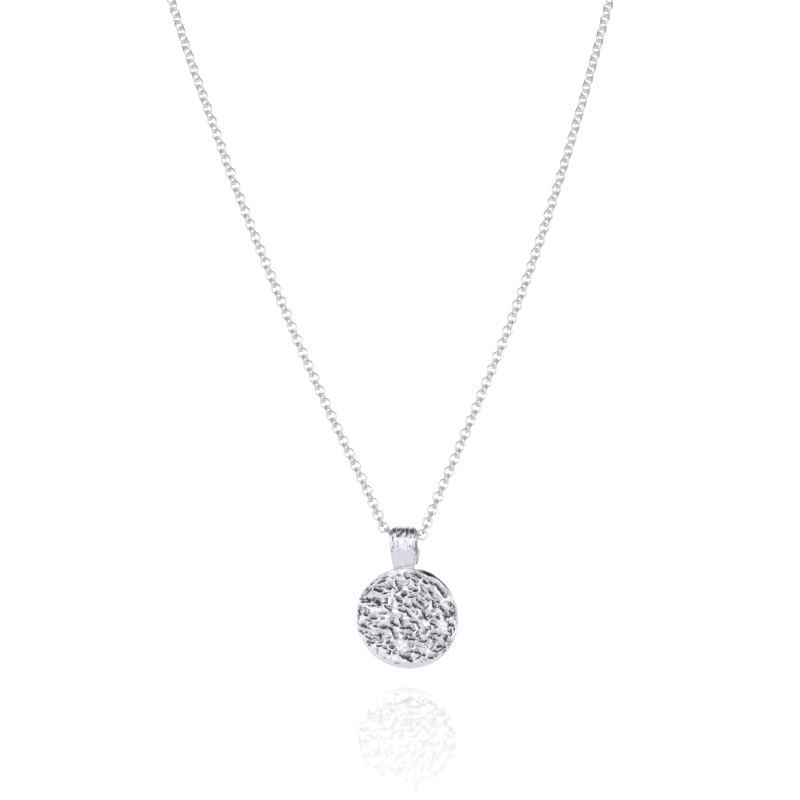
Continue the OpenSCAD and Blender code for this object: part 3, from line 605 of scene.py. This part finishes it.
def disc_blank(radius, thickness, edge):
    """The plain disc with its rounded edge, facing the front, in millimetres: a fine grid inside rings."""
    bm = bmesh.new()
    face, half = radius - edge, thickness / 2
    corners, cuts = 6, 127
    # A hexagon of small triangles, whose six-sided rings are then drawn out to round ones
    bmesh.ops.create_circle(bm, cap_ends=True, cap_tris=True, segments=corners, radius=1)
    corner = max(bm.verts, key=lambda v: v.co.length).co
    skew = math.atan2(corner.y, corner.x)
    bmesh.ops.subdivide_edges(bm, edges=bm.edges[:], cuts=cuts, use_grid_fill=True)
    bearings = [math.pi * (1 + 2 * k) / corners for k in range(corners)]
    sides = [Vector((math.cos(bearing), math.sin(bearing))) for bearing in bearings]
    for v in bm.verts:
        spot = v.co.xy
        if spot.length > 1e-6:
            bearing = math.atan2(spot.y, spot.x)
            turned = Vector((math.cos(bearing - skew), math.sin(bearing - skew))) * spot.length
            ring = max(turned.dot(side) for side in sides) / math.cos(math.pi / corners)
            v.co = (face * ring * math.cos(bearing), -half, face * ring * math.sin(bearing))
        else:
            v.co = (0, -half, 0)
    # Distance out and depth along the front's rounded edge, the wall, the back's rounded edge and the back
    wall, edge_steps, wall_steps = thickness - 2 * edge, 7, 6
    quarter = [math.radians(90 * i / edge_steps) for i in range(edge_steps + 1)]
    profile = [(face + edge * math.sin(a), -half + edge * (1 - math.cos(a))) for a in quarter[1:]]
    profile += [(radius, -half + edge + wall * i / wall_steps) for i in range(1, wall_steps)]
    profile += [(face + edge * math.cos(a), half - edge * (1 - math.sin(a))) for a in quarter]
    profile += [(face * share, half) for share in (0.9, 0.72, 0.5, 0.27, 0.08)]
    rim = [e for e in bm.edges if e.is_boundary]
    for reach, depth in profile:
        new = bmesh.ops.extrude_edge_only(bm, edges=rim)["geom"]
        verts = [g for g in new if isinstance(g, bmesh.types.BMVert)]
        for v in verts:
            bearing = math.atan2(v.co.z, v.co.x)
            v.co = (reach * math.cos(bearing), depth, reach * math.sin(bearing))
        rim = [g for g in new if isinstance(g, bmesh.types.BMEdge) and g.is_boundary]
    bmesh.ops.contextual_create(bm, geom=rim)
    bmesh.ops.recalc_face_normals(bm, faces=bm.faces)
    return bm


def pit_section(along, across, half_length, half_width):
    """Depth, stain with painted shade, and lip with a painted highlight at a place of a pit, in its own
    axes. One of its edges is crisp.
    """
    pit_length, pit_width = 1.3 * half_length + 0.14, 1.15 * half_width + 0.09
    taper = max(1 - (along / pit_length) ** 2, 0.0) ** 0.5
    if taper < 0.05:
        return 0.0, 0.0, 0.0
    ends = taper * taper
    # Across the pit, u runs from the crisp edge at -1 over the deepest line and up the long wall
    u = across / (pit_width * taper)
    deepest, long_wall = 0.4, 2.4
    if u > deepest:
        sink = 0.5 + 0.5 * math.cos(math.pi * min((u - deepest) / long_wall, 1.0))
    else:
        sink = 1 - min((deepest - u) / (1 + deepest), 1.0) ** 1.5
    # The stain is tarnish in the pit and painted shade, darkest by the crisp edge and fading up the long
    # wall
    stain_and_shade = smoothstep(-1.15, -0.9, u) * unit((1.4 - u) / 1.9) ** 1.2 * smoothstep(0.0, 0.5, ends)
    # The lip beyond the crisp edge is raised, and painted bright as a highlight
    lip = bell(across, -pit_width * taper - 0.085, 0.07) * smoothstep(0.1, 0.7, taper)
    return sink * ends, stain_and_shade, lip


def bent(x, y):
    """A place on the face, moved a little by noise, so that the pits have no even outlines."""
    moves = (noise.noise_vector((x * factor, y * factor, layer)) * reach for factor, layer, reach in WANDER)
    wander = sum(moves, Vector())
    return x + wander.x, y + wander.y


def pit_marks(points, places, depth):
    """Depth, stain with painted shade, and lip of each point, from the pits near it as they lie round its
    bent place.
    """
    tree = kdtree.KDTree(len(points))
    for i, (x, y) in enumerate(points):
        tree.insert((x, y, 0), i)
    tree.balance()
    marks = [(0.0, 0.0, 0.0)] * len(points)
    for right, up, half_length, half_width, turn, share in PITS:
        c, s = math.cos(math.radians(turn)), math.sin(math.radians(turn))
        strengths = (depth * share, 0.35 + 0.65 * share, 0.4 + 0.6 * share)
        for _, i, _ in tree.find_range((right, up, 0), 1.5 * half_length + 2.4 * half_width + 0.6):
            x, y = places[i][0] - right, places[i][1] - up
            section = pit_section(x * c + y * s, y * c - x * s, half_length, half_width)
            marks[i] = tuple(max(old, k * new) for old, k, new in zip(marks[i], strengths, section))
    return marks


def pitted_face(points, depth, scoop):
    """How deep each point of the cast face lies, in millimetres, and how dark it is."""
    noise.seed_set(NOISE_SEED)
    places = [bent(x, y) for x, y in points]
    face = []
    for (x, y), (u, v), (sink, stain_and_shade, lip) in zip(points, places, pit_marks(points, places, depth)):
        # Shallow scoops, drawn out along a lean that grows to the right, meet in cracked or in worn seams,
        # and the worn seams are painted bright as highlights
        lean = math.radians(-12 - 36 * smoothstep(-3.5, 3.5, x))
        c, s = math.cos(lean), math.sin(lean)
        near, next_near = noise.voronoi(((u * c + v * s) * 0.8, (v * c - u * s) * 1.25, 0.4))[0][:2]
        scooped = 1 - min(near / 0.7, 1.0) ** 2
        seam = 1 - smoothstep(0.02, 0.12, next_near - near)
        kind = pattern("seam kinds", x, y)
        crack, crest = seam * smoothstep(-0.1, 0.25, kind), seam * smoothstep(0.0, -0.3, kind)
        # The rim at the lower left is worn smooth, and its brightness is painted light
        low_left = smoothstep(7.0, 8.0, math.hypot(x, y)) * smoothstep(2.0, -7.0, 0.6 * x + y)
        crack *= 1 - low_left
        swell = 0.05 * pattern("broad swell", x, y) + 0.035 * pattern("close swell", x, y)
        grain = 0.014 * pattern("casting grain", x, y)
        low = (scoop * scooped + swell + grain) * (1 - 0.75 * low_left) - 0.05 * lip + 0.12 * crack
        uneven = 1 + 0.7 * pattern("broad stain", x, y) + 0.9 * pattern("close stain", x, y)
        # Dark is the pits' tarnish and painted shade; bright is a painted highlight on lips and worn seams,
        # and painted light on the lower-left rim
        dark = max(stain_and_shade * uneven, 0.6 * crack)
        bright = max(max(lip, 0.6 * crest) * (1 - 0.7 * low_left), 0.25 * low_left) * (1 - 0.8 * dark)
        face.append((sink + low, dark - bright if bright > dark else dark))
    return face


def unrolled(place, face, front, edge):
    """Where a place on the disc's front or rounded edge lies when the skin is rolled out flat."""
    reach = math.hypot(place.x, place.z)
    drop = unit((place.y - front) / edge)
    scale = 1.0
    if drop > 0.001:
        scale = (face + edge * math.acos(1 - drop)) / reach
    return place.x * scale, place.z * scale


def wear_rim(v, shade, radius, thickness):
    """Makes one point of the disc's rim uneven, and drafts the wall at the upper right and paints shade and
    a highlight on it.
    """
    reach, bearing = math.hypot(v.co.x, v.co.z), math.atan2(v.co.z, v.co.x)
    rear = v.co.y / thickness + 0.5
    rim_part = smoothstep(RIM_START, radius, reach)
    wave = pattern("rim wave", math.cos(bearing), math.sin(bearing))
    ripple = noise.noise((v.co.x * 1.6, v.co.y * 1.2, v.co.z * 1.6))
    nick = bell(bearing, 0.01, 0.035)
    crescent = smoothstep(0.9, 1.25, bearing) * smoothstep(1.6, 1.4, bearing)
    draft = (0.1 * smoothstep(-0.5, 0.5, bearing) + 0.2 * crescent) * rear
    flat = 0.3 * bell(bearing, 1.2, 0.17, 4) * smoothstep(0.35, 0.05, rear)
    change = (0.05 * wave + 0.03 * ripple - 0.14 * nick - flat - draft) * rim_part
    v.co.x *= 1 + change / reach
    v.co.z *= 1 + change / reach
    # Behind the front edge the wall has a line of painted shade, broad at the crescent, and a painted
    # highlight behind that
    wall = smoothstep(radius - 0.2, radius - 0.05, reach) * smoothstep(0.04, 0.14, rear)
    line_end = 0.36 + 0.7 * crescent
    line = bell(bearing, 0.95, 0.43, 4) * smoothstep(line_end + 0.3, line_end - 0.05, rear)
    light = bell(bearing, 0.75, 0.4, 4)
    if wall > 0.01:
        v[shade] = wall * (1.2 * line - 0.4 * light * (1 - min(line * 2, 1.0)))
    # The lower left of the front edge is worn soft
    soft = rim_part ** 2 * smoothstep(2.0, -7.0, 0.7 * v.co.x + v.co.z)
    v.co.y += 0.3 * soft * (1 - rear)


def cast_disc(sizes):
    """The cast disc with its pits, in the pendant's own millimetres. Its attribute pit holds tarnish and
    painted shade, and below zero painted highlights and light.
    """
    radius, thickness, edge = sizes.disc_diameter / MM / 2, sizes.disc_thickness / MM, sizes.edge_radius / MM
    bm = disc_blank(radius, thickness, edge)
    shade = bm.verts.layers.float.new("pit")
    face, front = radius - edge, -thickness / 2
    bm.normal_update()
    skin = [v for v in bm.verts if v.co.y < front + edge * 0.9]
    points = [unrolled(v.co, face, front, edge) for v in skin]
    cast = pitted_face(points, sizes.pit_depth / MM, sizes.scoop_depth / MM)
    normals = [v.normal.copy() for v in skin]
    for v, (x, y), (low, stain_and_shade), normal in zip(skin, points, cast, normals):
        reach = math.hypot(x, y)
        fade = 1 - smoothstep(radius - 0.15, radius + 0.3, reach)
        v.co -= normal * low * fade
        crisp = smoothstep(-1.0, 4.0, 0.8 * y - 0.3 * x)
        v.co.y = front + (v.co.y - front) * (1 - 0.75 * crisp * smoothstep(face, face + 0.05, reach))
        v[shade] = min(stain_and_shade, 0.93) * fade
    for v in bm.verts:
        reach = math.hypot(v.co.x, v.co.z)
        if reach > RIM_START:
            wear_rim(v, shade, radius, thickness)
        if v.co.y > 0:
            v.co.y += 0.09 * pattern("back swell", v.co.x, v.co.z) * (1 - smoothstep(8.0, radius, reach))
    bmesh.ops.translate(bm, verts=bm.verts, vec=(sizes.disc_shift / MM, 0, -sizes.drop / MM))
    return bm


def strip_section(sizes):
    """Radii of the strip's bore and crown, and where its round top ends, as a bearing and a direction."""
    bore = sizes.bore_diameter / MM / 2
    crown = bore + sizes.strip_thickness / MM
    foot = Vector((FOOT_OUT, FOOT_UP))
    lean = math.atan2(foot.y, foot.x) + math.acos(crown / foot.length)
    return bore, crown, lean, Vector((math.cos(lean), math.sin(lean)))


def extrude_leg(bm, edge, tops, ends):
    """Draws an edge of the strip out into a leg, along a line for its inner and one for its outer point."""
    steps = 46
    before = tops
    for i in range(1, steps + 1):
        after = [top.lerp(end, i / steps) for top, end in zip(tops, ends)]
        new = bmesh.ops.extrude_edge_only(bm, edges=[edge])["geom"]
        verts = [g for g in new if isinstance(g, bmesh.types.BMVert)]
        for v in verts:
            to_inner, to_outer = ((v.co.yz - spot).length for spot in before)
            v.co.y, v.co.z = after[0] if to_inner < to_outer else after[1]
        edges = [g for g in new if isinstance(g, bmesh.types.BMEdge)]
        edge = next(e for e in edges if all(v in verts for v in e.verts))
        before = after
    return edge


def folded_strip(width, bore, crown, lean, out):
    """The plain strip, from its section to its full width, with rounded corners and finely cut across."""
    bm = bmesh.new()
    start = [bm.verts.new((-width / 2, -radius * out.x, radius * out.y)) for radius in (bore, crown)]
    first = bm.edges.new(start)
    over = bmesh.ops.spin(
        bm, geom=[first], cent=(0, 0, 0), axis=(1, 0, 0), dvec=(0, 0, 0),
        angle=2 * lean - math.pi, steps=64, use_merge=False,
    )
    last = next(g for g in over["geom_last"] if isinstance(g, bmesh.types.BMEdge))
    legs = []
    for edge, side in ((first, -1), (last, 1)):
        tops = [Vector((side * radius * out.x, radius * out.y)) for radius in (bore, crown)]
        ends = [Vector((side * BORE_TIP_OUT, BORE_TIP_UP)), Vector((side * FOOT_OUT, FOOT_UP))]
        legs.append(extrude_leg(bm, edge, tops, ends))
    bmesh.ops.bridge_loops(bm, edges=legs)
    bmesh.ops.recalc_face_normals(bm, faces=bm.faces)
    new = bmesh.ops.extrude_face_region(bm, geom=bm.faces[:])["geom"]
    far = [g for g in new if isinstance(g, bmesh.types.BMVert)]
    bmesh.ops.translate(bm, verts=far, vec=(width, 0, 0))
    bmesh.ops.recalc_face_normals(bm, faces=bm.faces)
    sharp = [
        e for e in bm.edges
        if abs(e.verts[0].co.x - e.verts[1].co.x) < 0.01 and len(e.link_faces) == 2
        and e.link_faces[0].normal.dot(e.link_faces[1].normal) < 0.3
    ]
    bmesh.ops.bevel(bm, geom=sharp, offset=0.14, segments=3, affect="EDGES", profile=0.5, material=-1)
    long = [e for e in bm.edges if abs(e.verts[0].co.x - e.verts[1].co.x) > width / 2]
    bmesh.ops.subdivide_edges(bm, edges=long, cuts=52, use_grid_fill=True)
    bmesh.ops.recalc_face_normals(bm, faces=bm.faces)
    return bm


def hammered(place, width, crown, lean, out):
    """Depth of the hammer marks at a place on the plain strip, in millimetres, and how dark it is."""
    x, y, z = place
    bearing = math.atan2(z, abs(y))
    # Depth under the outer skin, and the way along the strip from its top, which is below zero on the rear
    if z > crown * out.y and bearing > lean:
        under, path = crown - math.hypot(y, z), crown * (math.pi / 2 - bearing)
    else:
        under, path = crown - (abs(y) * out.x + z * out.y), crown * (math.pi / 2 - lean) + crown * out.y - z
    if y >= 0:
        path = -path
    outer_skin = 1 - smoothstep(0.1, 0.4, under)
    crown_part = 1 - smoothstep(2.0, 4.2, abs(path))
    leg_part = (1 - crown_part) * outer_skin
    strokes = 0.6 - 2.2 * abs(pattern("hammer strokes", x, path)) + 0.6 * pattern("fine strokes", x, path)
    dents = pattern("hammer dents", x, path)
    squarer = bell(math.degrees(bearing), 50, 18)
    solder_seam = bell(z, 0.24 * x - 4.94, 0.1) * smoothstep(-1.9, -0.9, x)
    sink = (0.05 + 0.09 * crown_part) * strokes + 0.06 * dents + 0.1 * solder_seam - 0.12 * squarer
    sink *= outer_skin * smoothstep(FOOT_UP, FOOT_UP + 0.6, z)

    marks = max(pattern("leg marks", x, path) + 0.5 * pattern("fine leg marks", x, path), 0.0)
    flecks = smoothstep(0.32, 0.5, noise.noise((x * 1.9 + 4, z * 1.3, 31.0))) * smoothstep(-0.9, -1.5, z)
    flecks *= smoothstep(width / 2 - 0.8, width / 2 - 0.4, abs(x))
    stain_and_shade = max(0.25 * crown_part * strokes, 0.5 * solder_seam, 0.5 * flecks, 0.2 * leg_part * marks, 0.0)
    # The strip's right side gets a painted highlight beside the lower part of the bore, and painted shade
    # under the bore's tip. Its inner skin beside the bore is rubbed by the chain and painted light
    beside_bore = smoothstep(BORE_TIP_UP, BORE_TIP_UP + 0.4, z)
    side = smoothstep(width / 2 - 0.1, width / 2 - 0.03, x)
    wall = side * beside_bore * smoothstep(-1.2, -1.7, z)
    stain_and_shade = max(outer_skin * stain_and_shade, 0.6 * side * (1 - beside_bore))
    rubbed_and_lit = smoothstep(0.35, 0.45, under) * beside_bore
    return sink, min(stain_and_shade * (1 - wall), 1.0) - max(wall, rubbed_and_lit)


def belly_share(z):
    """Share of the belly at a height: all of it a little under the bore's axis, and nothing at the foot."""
    if z > BELLY_UP:
        return max(z / BELLY_UP, 0.0) ** 1.4
    return max(z - FOOT_UP, 0.0) / (BELLY_UP - FOOT_UP)


def strip_edges(z):
    """Left and right edge of the strip at a height, as shares of half its full width."""
    if z >= STRIP_WIDTHS[0][0]:
        return STRIP_WIDTHS[0][1:]
    for (top, left_a, right_a), (low, left_b, right_b) in zip(STRIP_WIDTHS, STRIP_WIDTHS[1:]):
        if z >= low:
            share = (top - z) / (top - low)
            return left_a + (left_b - left_a) * share, right_a + (right_b - right_a) * share
    return STRIP_WIDTHS[-1][1:]


def strip_bail(sizes):
    """The hammered strip, folded over the chain and soldered to the disc, in the pendant's millimetres."""
    bore, crown, lean, out = strip_section(sizes)
    width, belly = sizes.strip_width / MM, sizes.belly / MM
    bm = folded_strip(width, bore, crown, lean, out)
    shade = bm.verts.layers.float.new("pit")
    bm.normal_update()
    sinks = []
    for v in bm.verts:
        sink, v[shade] = hammered(v.co, width, crown, lean, out)
        sinks.append(v.normal * sink)
    for v, sink in zip(bm.verts, sinks):
        v.co -= sink
    for v in bm.verts:
        # Each leg bellies out, from a line that is uneven across the strip
        edge_rise = 1.1 * pattern("belly edge", v.co.x, 0.0)
        edge_rise += 0.7 * pattern("fine belly edge", v.co.x, v.co.z)
        bulge = belly_share(v.co.z + edge_rise) * belly * unit((abs(v.co.y) - 0.1) / 0.5)
        v.co.y += math.copysign(bulge, v.co.y)
        # The strip is trimmed to its outline, and the rear leg flares to the right under the bore
        left_edge, right_edge = strip_edges(v.co.z)
        share = v.co.x / width + 0.5
        wander = 0.05 * noise.noise((0.0 if share < 0.5 else 9.0, v.co.y * 1.3, v.co.z * 1.3))
        flare = smoothstep(-1.3, -2.4, v.co.z) * smoothstep(-5.2, -4.4, v.co.z)
        flare *= 0.35 * smoothstep(0.0, 0.6, v.co.y)
        v.co.x = width / 2 * (left_edge + (right_edge - left_edge) * share) + wander * (2 * share - 1)
        v.co.x += flare * max(2 * share - 1, 0.0)
        # Flecks of painted shade on the front of the strip
        if v.co.y < -0.4:
            for right, up, half_width, half_height in FLECKS:
                reach = math.hypot((v.co.x - right) / half_width, (v.co.z - up) / half_height)
                v[shade] = max(v[shade], 0.85 * (1 - smoothstep(0.5, 1.2, reach)))
    return bm


class NECKLACE_OT_pendant(bpy.types.Operator):
    """Builds the cast, pitted disc with its hammered strip bail as one soldered piece"""

    bl_idname = "necklace.pendant"
    bl_label = "Pendant"

    def execute(self, context):
        sizes = context.scene.pendant_sizes
        silver = bpy.data.materials["Cast silver"]
        hinge = Matrix.Translation(Vector(swing["pos_m"]) / MM) @ Matrix.Rotation(-sizes.turn, 4, "Z")
        pieces = []
        for name, bm in (("cast_pendant", cast_disc(sizes)), ("bail_strip", strip_bail(sizes))):
            bmesh.ops.transform(bm, matrix=hinge, verts=bm.verts)
            pieces.append(finished_object(bm, name, silver))
        pendant, strip = pieces
        solder = pendant.modifiers.new("Solder", "BOOLEAN")
        solder.operation = "UNION"
        solder.solver = "MANIFOLD"
        solder.object = strip
        context.view_layer.update()
        joined = bpy.data.meshes.new_from_object(pendant.evaluated_get(context.evaluated_depsgraph_get()))
        pendant.modifiers.clear()
        pendant.data = joined
        bpy.data.objects.remove(strip)
        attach(pendant, "pendant")
        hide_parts("pendant")
        return {"FINISHED"}


class NECKLACE_OT_clasp(bpy.types.Operator):
    """Gives the bolt ring and the end ring behind the neck their polished silver"""

    bl_idname = "necklace.clasp"
    bl_label = "Clasp"

    def execute(self, context):
        for name in ("clasp", "end_ring"):
            for slot in frame["nodes"][name].material_slots:
                slot.material = bpy.data.materials["Clasp silver"]
        return {"FINISHED"}


class NECKLACE_OT_materials(bpy.types.Operator):
    """Makes the three silver finishes"""

    bl_idname = "necklace.materials"
    bl_label = "Silver"

    def execute(self, context):
        polish_group()
        tarnish_and_shade_group()
        finish = context.scene.silver_finish
        polish = finish.polish
        # The cast silver's attribute pit holds tarnish and painted shade, and below zero painted highlights
        # and light
        silver_material(
            "Cast silver", finish.bright, mask="pit", cloud=0.25, size=5200, stretch=1.5,
            low=polish, high=polish + 0.16, bump=0.5, edge=1.0, metal=1.0,
        )
        silver_material(
            "Chain silver", finish.polished, mask="wire_shade", cloud=0.05, size=7000, stretch=1.0,
            low=polish * 0.9, high=polish * 1.5, bump=0.15, edge=0.4, metal=0.62,
        )
        silver_material(
            "Clasp silver", finish.polished, mask="", cloud=0.05, size=3000, stretch=6.0,
            low=polish * 0.7, high=polish * 1.2, bump=0.2, edge=0.6, metal=0.8,
        )
        return {"FINISHED"}


def floor_material():
    """Smooth, pale table top with a faint gloss and a hardly seen unevenness."""
    material = bpy.data.materials.new("Pale floor")
    material.use_nodes = True
    tree = material.node_tree
    place = add_node(tree, "TexCoord", (-900, 0)).outputs["Object"]
    mottle = add_node(tree, "TexNoise", (-700, 0), place, Scale=6.0, Detail=3.0)
    tone = remapped(tree, (-480, 120), mottle, 0.0, 1.0, 0.9, 0.94)
    gloss = remapped(tree, (-480, -160), mottle, 0.0, 1.0, 0.045, 0.06)
    shader = tree.nodes["Principled BSDF"].inputs
    feed(tree, shader["IOR"], 1.9)
    feed(tree, shader["Base Color"], tone)
    feed(tree, shader["Roughness"], gloss)
    return material


def studio_world():
    """A white studio with a dark ceiling in front and a grey flag at either side, mirrored in the silver."""
    world = bpy.data.worlds.new("Studio")
    world.use_nodes = True
    tree = world.node_tree
    place = add_node(tree, "TexCoord", (-1000, 0)).outputs["Generated"]
    height = add_node(tree, "VectorMath", (-800, 0), place, (0.0, -0.2, 0.98), operation="DOT_PRODUCT")
    ramp = add_node(tree, "ValToRGB", (-600, 0), height.outputs["Value"])
    rows = ((0.0, 1.48), (0.46, 1.48), (0.54, 0.95), (0.6, 0.4), (0.68, 0.18), (1.0, 0.1))
    for position, value in rows[2:]:
        ramp.color_ramp.elements.new(position)
    for element, (position, value) in zip(ramp.color_ramp.elements, rows):
        element.position = position
        element.color = (value, value, value * 1.01, 1.0)
    across = add_node(tree, "SeparateXYZ", (-800, -300), place)
    rear = remapped(tree, (-600, -140), across.outputs["Y"], 0.3, 0.65, 0.0, 0.9)
    aside = add_node(tree, "Math", (-600, -300), across.outputs["X"], operation="ABSOLUTE")
    flag = remapped(tree, (-400, -300), aside, 0.72, 0.9, 1.0, 0.4)
    sky = tree.nodes["Background"].inputs
    feed(tree, sky["Color"], mixed_colour(tree, (-300, 0), 1.0, ramp, rear, blend="LIGHTEN"))
    feed(tree, sky["Strength"], flag)
    return world


class NECKLACE_OT_studio(bpy.types.Operator):
    """Sets up the pale floor, the soft light and the camera"""

    bl_idname = "necklace.studio"
    bl_label = "Studio"

    def execute(self, context):
        setup = context.scene.studio_setup
        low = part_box("pendant")[0].z - setup.floor_gap
        bm = bmesh.new()
        bmesh.ops.create_grid(bm, x_segments=24, y_segments=24, size=5.0)
        bmesh.ops.translate(bm, verts=bm.verts, vec=(0, 0, low))
        mesh = bpy.data.meshes.new("floor")
        bm.to_mesh(mesh)
        bm.free()
        mesh.materials.append(floor_material())
        floor = bpy.data.objects.new("floor", mesh)
        context.collection.objects.link(floor)

        sun = bpy.data.lights.new("soft_light", "SUN")
        sun.energy = setup.light
        sun.angle = math.radians(120)
        sun.use_shadow = False
        lamp = bpy.data.objects.new("soft_light", sun)
        lamp.visible_glossy = False
        context.collection.objects.link(lamp)
        context.scene.world = studio_world()

        up = Vector((0, math.sin(setup.elevation), math.cos(setup.elevation)))
        back = Vector((0, -math.cos(setup.elevation), math.sin(setup.elevation)))
        aim = Vector((0, swing["pos_m"][1], swing["pos_m"][2])) + up * setup.rise
        camera = bpy.data.objects.new("camera", bpy.data.cameras.new("camera"))
        camera.data.lens = setup.lens
        camera.data.sensor_width = 36
        camera.data.clip_start = 0.01
        camera.location = aim + back * setup.distance
        camera.rotation_euler = (math.pi / 2 - setup.elevation, 0, 0)
        context.collection.objects.link(camera)
        context.scene.camera = camera
        context.scene.view_settings.view_transform = "Standard"
        return {"FINISHED"}


class NECKLACE_PT_panel(bpy.types.Panel):
    """Sizes, colours and pieces of the necklace"""

    bl_idname = "NECKLACE_PT_panel"
    bl_label = "Pitted charm necklace"
    bl_space_type = "VIEW_3D"
    bl_region_type = "UI"
    bl_category = "Necklace"

    def draw(self, context):
        scene = context.scene
        for group, operators in (
            (scene.silver_finish, ("necklace.materials",)),
            (scene.chain_sizes, ("necklace.chain", "necklace.clasp")),
            (scene.pendant_sizes, ("necklace.pendant",)),
            (scene.studio_setup, ("necklace.studio",)),
        ):
            box = self.layout.box()
            for name in group.__annotations__:
                box.prop(group, name)
            for operator in operators:
                box.operator(operator)


SETTINGS = (
    ("chain_sizes", ChainSizes),
    ("pendant_sizes", PendantSizes),
    ("silver_finish", SilverFinish),
    ("studio_setup", StudioSetup),
)
CLASSES = (
    NECKLACE_OT_materials,
    NECKLACE_OT_chain,
    NECKLACE_OT_pendant,
    NECKLACE_OT_clasp,
    NECKLACE_OT_studio,
    NECKLACE_PT_panel,
)


def register():
    for name, group in SETTINGS:
        bpy.utils.register_class(group)
        setattr(bpy.types.Scene, name, PointerProperty(type=group))
    for cls in CLASSES:
        bpy.utils.register_class(cls)


def unregister():
    for cls in reversed(CLASSES):
        bpy.utils.unregister_class(cls)
    for name, group in reversed(SETTINGS):
        delattr(bpy.types.Scene, name)
        bpy.utils.unregister_class(group)


def main():
    register()
    bpy.ops.necklace.materials()
    bpy.ops.necklace.chain()
    bpy.ops.necklace.pendant()
    bpy.ops.necklace.clasp()
    bpy.ops.necklace.studio()


if __name__ == "__main__":
    main()
